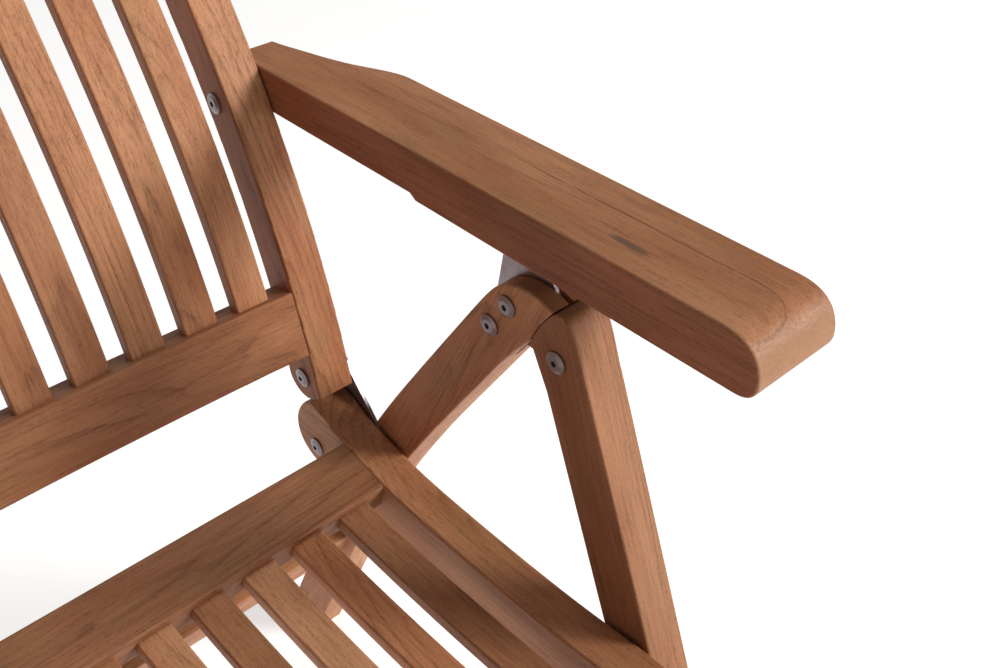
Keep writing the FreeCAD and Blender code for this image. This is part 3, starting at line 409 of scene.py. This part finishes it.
@dataclass(frozen=True)
class TeakFinish:
    """Satin oiled teak of one tone, in linear colour, with optional painted shade on the sides that face
    along X.
    """

    tone: float = 1.0
    warmth: float = 0.0
    figure: Figure = Figure.RIFT
    ring_width: float = 0.0046
    ring_contrast: float = 0.40
    pale: Colour = (0.560, 0.262, 0.128)
    body: Colour = (0.425, 0.168, 0.072)
    dark: Colour = (0.120, 0.037, 0.016)
    olive: Colour = (0.400, 0.205, 0.088)
    relief: float = 0.00026
    shine: float = 0.22
    # painted shade: how far the faces pointing along X are darkened by colour, standing in for shade the
    # lamps leave out
    painted_side_shade: float = 0.0
    painted_side_shade_tint: Colour = (0.56, 0.36, 0.31)

    def toned(self, colour: Colour) -> Colour:
        """Give a colour at this board's tone and warmth."""
        red, green, blue = colour
        return (red * self.tone, green * self.tone * (1.0 - 0.6 * self.warmth),
                blue * self.tone * (1.0 - self.warmth))

    def build(self, name: str, grain: Euler, heart: Vector,
              marks: Optional[Vector] = None) -> bpy.types.Material:
        """Build the material for one board.

        Args:
            name: the material's name.
            grain: turn that brings the board's length onto Z.
            heart: where the log's heart lies, in turned coordinates.
            marks: centre of the armrest markings, if it has them.

        Returns:
            The material.
        """
        material, w, shader = new_material(name)
        place = w.add("ShaderNodeTexCoord")
        turned = w.add("ShaderNodeMapping", vector_type="POINT")
        w.put(turned.inputs["Vector"], place.outputs["Object"])
        turned.inputs["Rotation"].default_value = grain
        turned.inputs["Location"].default_value = heart
        facing = w.add("ShaderNodeMapping", vector_type="NORMAL")
        w.put(facing.inputs["Vector"], place.outputs["Normal"])
        facing.inputs["Rotation"].default_value = grain
        teak = w.add("ShaderNodeGroup", node_tree=TEAK)
        w.put(teak.inputs["Board"], turned.outputs["Vector"])
        w.put(teak.inputs["Facing"], facing.outputs["Vector"])
        w.put(teak.inputs["Ring Width"], self.ring_width)
        w.put(teak.inputs["Ring Contrast"], self.ring_contrast)
        for socket, colour in (("Pale", self.pale), ("Body", self.body), ("Dark", self.dark),
                               ("Olive", self.olive)):
            w.put(teak.inputs[socket], self.toned(colour))
        colour = teak.outputs["Color"]
        # Painted shade: faces whose object normal points along X are multiplied towards a dark tint, as shade
        # the lighting does not give them; it is not a colour of the wood.
        if self.painted_side_shade > 0.0:
            faces = w.add("ShaderNodeSeparateXYZ")
            w.put(faces.inputs[0], place.outputs["Normal"])
            painted_side_mask = w.band(w.math("ABSOLUTE", faces.outputs["X"]), 0.50, 0.97)
            colour = w.mix(w.math("MULTIPLY", painted_side_mask, self.painted_side_shade), colour, self.painted_side_shade_tint, "MULTIPLY")
        if marks is not None:
            centred = w.add("ShaderNodeMapping", vector_type="POINT")
            w.put(centred.inputs["Vector"], place.outputs["Object"])
            centred.inputs["Location"].default_value = -marks
            masks = w.add("ShaderNodeGroup", node_tree=MARKINGS)
            w.put(masks.inputs["Place"], centred.outputs["Vector"])
            colour = w.mix(w.math("MULTIPLY", masks.outputs["Line"], LINE_STRENGTH), colour, LINE_COLOUR)
            streak = w.math("MULTIPLY", masks.outputs["Streak"], STREAK_STRENGTH)
            colour = w.mix(streak, colour, STREAK_COLOUR)
        w.put(shader.inputs["Base Color"], colour)
        w.put(shader.inputs["Roughness"], teak.outputs["Roughness"])
        bump = w.add("ShaderNodeBump")
        bump.inputs["Strength"].default_value = 0.55
        bump.inputs["Distance"].default_value = self.relief
        w.put(bump.inputs["Height"], teak.outputs["Height"])
        w.put(shader.inputs["Normal"], bump.outputs["Normal"])
        shader.inputs["Specular IOR Level"].default_value = self.shine
        return material


@dataclass(frozen=True)
class SteelFinish:
    """Stainless steel of one brightness, in linear colour."""

    clean: Colour = (0.42, 0.38, 0.41)
    worn: Colour = (0.26, 0.22, 0.23)
    along: Colour = (900.0, 60.0, 900.0)
    relief: float = 0.00004

    def build(self, name: str) -> bpy.types.Material:
        """Build the material.

        Args:
            name: the material's name.

        Returns:
            The material.
        """
        material, w, shader = new_material(name)
        place = w.add("ShaderNodeTexCoord")
        steel = w.add("ShaderNodeGroup", node_tree=STEEL)
        w.put(steel.inputs["Place"], place.outputs["Object"])
        w.put(steel.inputs["Clean"], self.clean)
        w.put(steel.inputs["Worn"], self.worn)
        steel.inputs["Along"].default_value = self.along
        w.put(shader.inputs["Base Color"], steel.outputs["Color"])
        w.put(shader.inputs["Roughness"], steel.outputs["Roughness"])
        shader.inputs["Metallic"].default_value = 1.0
        bump = w.add("ShaderNodeBump")
        bump.inputs["Strength"].default_value = 0.5
        bump.inputs["Distance"].default_value = self.relief
        w.put(bump.inputs["Height"], steel.outputs["Height"])
        w.put(shader.inputs["Normal"], bump.outputs["Normal"])
        return material


class Run(Enum):
    """Which way a board's fibres run, as the turn that brings them onto Z, in degrees."""

    ACROSS = (0.0, -90.0, 0.0)
    FORWARD = (90.0, 0.0, 0.0)
    BACK_LEAN = (20.0, 0.0, 0.0)
    FRONT_LEG = (20.25, 0.0, 0.0)
    REAR_LEG = (-28.0, 0.0, 0.0)

    def turn(self) -> Euler:
        """Give the turn as Euler angles."""
        return Euler([math.radians(angle) for angle in self.value])


LOG_STEP = 0.37
LOG_STEPS = 23
DEPTH_STEP = 0.004
DEPTH_STEPS = 7


@dataclass
class SubAssembly:
    """A set of CAD nodes that are dressed together."""

    name: str

    def node_material(self, node: str, material: bpy.types.Material) -> None:
        """Give a CAD node one material.

        Args:
            node: the node's name.
            material: the finish.
        """
        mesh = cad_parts[node].data
        mesh.materials.clear()
        mesh.materials.append(material)
        LOG.info("%s: %s", self.name, node)

    def dress_board(self, node: str, run: Run, finish: TeakFinish,
                    marks: Optional[Vector] = None) -> None:
        """Give a board its own piece of the log.

        Args:
            node: the board's node.
            run: which way its fibres run.
            finish: the teak's tone and figure.
            marks: centre of the armrest markings, if it has them.
        """
        low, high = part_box(node)
        turn = run.turn()
        centre = (low + high) / 2.0
        centre.rotate(turn)
        number = sum(ord(letter) * (place + 3) for place, letter in enumerate(node))
        along = LOG_STEP * (number % LOG_STEPS)
        side = 1.0 if number % 2 else -1.0
        depth = DEPTH_STEP * (number % DEPTH_STEPS)
        offset_x, offset_y = finish.figure.value
        heart = Vector((side * (offset_x + depth), offset_y - depth, along)) - centre
        self.node_material(node, finish.build("teak_" + node, turn, heart, marks))


@dataclass
class Back(SubAssembly):
    """Two stiles, two cross rails and eight curved slats."""

    name: str = "back"
    slat_tones: tuple[float, ...] = (0.94, 1.03, 0.97, 0.90, 0.84, 0.98, 1.02, 1.00)
    slat_figures: tuple[Figure, ...] = (Figure.RIFT, Figure.FLAT, Figure.QUARTER, Figure.RIFT,
                                        Figure.FLAT, Figure.QUARTER, Figure.FLAT, Figure.FLAT)

    def dress(self) -> None:
        """Give each board of the back its finish."""
        # The stiles get painted shade on their X-facing sides.
        stile = TeakFinish(tone=0.98, painted_side_shade=0.7, figure=Figure.QUARTER)
        for side in ("left", "right"):
            self.dress_board("stile_" + side, Run.BACK_LEAN, stile)
        self.dress_board("back_lower_rail", Run.ACROSS, TeakFinish(tone=0.78, warmth=0.06, ring_contrast=0.4))
        self.dress_board("back_top_rail", Run.ACROSS, TeakFinish(tone=0.92, figure=Figure.FLAT))
        for number, (tone, figure) in enumerate(zip(self.slat_tones, self.slat_figures), start=1):
            # The slats get painted shade on their X-facing sides.
            finish = TeakFinish(tone=tone, figure=figure, painted_side_shade=0.35,
                                ring_width=0.0040 + 0.0004 * (number % 4))
            self.dress_board("back_slat_%d" % number, Run.BACK_LEAN, finish)


@dataclass
class Seat(SubAssembly):
    """Two side rails, two cross rails and eight hollowed slats."""

    name: str = "seat"
    slat_tones: tuple[float, ...] = (0.84, 0.96, 0.78, 1.02, 0.76, 1.10, 1.08, 0.74)
    slat_warmths: tuple[float, ...] = (-0.05, 0.00, 0.05, -0.10, 0.06, -0.16, 0.04, -0.06)

    def dress(self) -> None:
        """Give each board of the seat its finish."""
        for side in ("left", "right"):
            self.dress_board("seat_side_rail_" + side, Run.FORWARD, TeakFinish(tone=0.92, figure=Figure.RIFT))
        self.dress_board("seat_rear_rail", Run.ACROSS, TeakFinish(tone=0.65, warmth=0.04, figure=Figure.FLAT))
        self.dress_board("seat_front_rail", Run.ACROSS, TeakFinish(tone=0.95))
        figures = (Figure.FLAT, Figure.RIFT, Figure.QUARTER)
        for number, (tone, warmth) in enumerate(zip(self.slat_tones, self.slat_warmths), start=1):
            finish = TeakFinish(tone=tone, warmth=warmth, figure=figures[number % len(figures)])
            self.dress_board("seat_slat_%d" % number, Run.FORWARD, finish)


@dataclass
class Legs(SubAssembly):
    """Front and rear legs with their stretchers."""

    name: str = "legs"

    def dress(self) -> None:
        """Give each leg and stretcher its finish."""
        # The front legs get painted shade on their X-facing sides.
        front = TeakFinish(tone=0.76, painted_side_shade=0.4, figure=Figure.QUARTER)
        rear = TeakFinish(tone=1.02, figure=Figure.FLAT)
        for side in ("left", "right"):
            self.dress_board("front_leg_" + side, Run.FRONT_LEG, front)
            self.dress_board("rear_leg_" + side, Run.REAR_LEG, rear)
        for node in ("front_stretcher", "rear_stretcher"):
            self.dress_board(node, Run.ACROSS, TeakFinish(tone=0.95))


@dataclass
class Armrests(SubAssembly):
    """Two broad armrests, the left one with a dark growth line near the nose."""

    name: str = "armrests"
    loop_from_nose: float = 0.0460
    loop_from_inner: float = 0.0205

    def dress(self) -> None:
        """Give each armrest its finish, and the left one its markings."""
        # The armrests get strong painted shade on their X-facing sides.
        finish = TeakFinish(tone=0.94, warmth=0.02, shine=0.36, painted_side_shade=0.8, figure=Figure.FLAT,
                            ring_width=0.0062, ring_contrast=0.22)
        for side, sign in (("left", 1.0), ("right", -1.0)):
            node = "armrest_" + side
            low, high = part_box(node)
            inner = low.x if sign > 0 else high.x
            marks = Vector((inner + sign * self.loop_from_inner, low.y + self.loop_from_nose, 0.0))
            self.dress_board(node, Run.FORWARD, finish, marks if sign > 0 else None)


@dataclass
class Fittings(SubAssembly):
    """Stainless plates, racks, bolts, pins and screws."""

    name: str = "fittings"
    plates: tuple[str, ...] = ("corner_plate_left", "corner_plate_right", "hinge_plate_left",
                               "hinge_plate_right", "arm_rack_left", "arm_rack_right")
    bolts: tuple[str, ...] = ("back_pivot_bolts", "seat_pivot_bolts", "arm_pivot_bolts", "leg_hinge_bolts",
                              "hinge_plate_bolts", "corner_plate_bolts", "lock_pins", "corner_plate_screws")

    def dress(self) -> None:
        """Give plates and bolts their steel."""
        plate = SteelFinish().build("steel_plate")
        bolt = SteelFinish(clean=(0.30, 0.26, 0.27), worn=(0.16, 0.13, 0.13),
                           along=(500.0, 500.0, 500.0)).build("steel_bolt")
        for node in self.plates:
            self.node_material(node, plate)
        for node in self.bolts:
            self.node_material(node, bolt)


@dataclass
class Studio:
    """Pale floor, soft light and the camera."""

    key_towards: Vector = field(default_factory=lambda: Vector((0.60, -0.67, 0.37)))
    key_distance: float = 8.0
    key_size: float = 3.0
    key_power: float = 600.0
    overhead_towards: Vector = field(default_factory=lambda: Vector((0.20, 0.10, 1.0)))
    overhead_distance: float = 4.0
    overhead_size: float = 2.4
    overhead_power: float = 36.0
    ambient: float = 0.14
    horizon_glow: float = 0.85
    horizon_width: float = 0.10
    floor_size: float = 120.0
    floor_glow: float = 0.48
    lens: float = 42.417
    camera_place: Vector = field(default_factory=lambda: Vector((-0.21464, -0.56852, 1.11148)))
    camera_down: float = 37.361
    camera_turn: float = -42.853

    def build(self) -> None:
        """Make the floor, the lights and the camera."""
        self.floor()
        self.lights()
        self.camera()

    def floor(self) -> None:
        """Lay the floor under the feet."""
        bpy.ops.object.select_all(action="DESELECT")
        bpy.ops.mesh.primitive_plane_add(size=self.floor_size, location=(0.0, 0.0, CAD_LOW.z))
        floor = bpy.context.object
        floor.name = "studio_floor"
        material, w, shader = new_material("studio_floor")
        place = w.add("ShaderNodeTexCoord")
        mottle = w.noise(w.vector("SCALE", place.outputs["Object"], 3.0), 3.0, 0.5)
        w.put(shader.inputs["Base Color"], w.mix(mottle, (0.86, 0.86, 0.86), (0.90, 0.90, 0.90)))
        shader.inputs["Roughness"].default_value = 0.9
        shader.inputs["Emission Color"].default_value = (1.0, 1.0, 1.0, 1.0)
        shader.inputs["Emission Strength"].default_value = self.floor_glow
        floor.data.materials.append(material)

    def lights(self) -> None:
        """Set the soft room light and the key."""
        world = bpy.data.worlds.new("studio")
        bpy.context.scene.world = world
        world.use_nodes = True
        background = world.node_tree.nodes["Background"]
        background.inputs["Color"].default_value = (1.0, 0.985, 0.975, 1.0)
        w = Wiring(world.node_tree)
        sky = w.add("ShaderNodeTexCoord")
        height = w.add("ShaderNodeSeparateXYZ")
        w.put(height.inputs[0], sky.outputs["Generated"])
        away = w.band(w.math("ABSOLUTE", height.outputs["Z"]), self.horizon_width, 2.0 * self.horizon_width)
        dimming = w.math("MULTIPLY", away, self.horizon_glow - self.ambient)
        w.put(background.inputs["Strength"], w.math("SUBTRACT", self.horizon_glow, dimming))
        self.softbox("key", self.key_towards, self.key_distance, self.key_size, self.key_power)
        self.softbox("overhead", self.overhead_towards, self.overhead_distance, self.overhead_size,
                     self.overhead_power)

    def softbox(self, name: str, towards: Vector, distance: float, size: float, power: float) -> None:
        """Hang a round soft light that faces the chair's middle.

        Args:
            name: the light's name.
            towards: direction from the chair to the light.
            distance: how far away it hangs.
            size: its diameter.
            power: its power.
        """
        light = bpy.data.lights.new(name, "AREA")
        light.shape = "DISK"
        light.size = size
        light.energy = power
        light.color = (1.0, 0.985, 0.96)
        lamp = bpy.data.objects.new(name, light)
        bpy.context.scene.collection.objects.link(lamp)
        direction = towards.normalized()
        lamp.location = (CAD_LOW + CAD_HIGH) / 2.0 + direction * distance
        lamp.rotation_euler = direction.to_track_quat("Z", "Y").to_euler()

    def camera(self) -> None:
        """Place the camera over the seat, looking at one armrest."""
        data = bpy.data.cameras.new("camera")
        data.lens = self.lens
        data.clip_start = 0.05
        camera = bpy.data.objects.new("camera", data)
        bpy.context.scene.collection.objects.link(camera)
        camera.location = self.camera_place
        camera.rotation_euler = Euler((math.radians(90.0 - self.camera_down), 0.0,
                                       math.radians(self.camera_turn)))
        bpy.context.scene.camera = camera


def main() -> None:
    """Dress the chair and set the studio."""
    logging.basicConfig(level=logging.INFO, format="%(name)s %(message)s")
    for assembly in (Back(), Seat(), Legs(), Armrests(), Fittings()):
        assembly.dress()
    Studio().build()
    bpy.context.scene.view_settings.view_transform = "Standard"


if __name__ == "__main__":
    main()
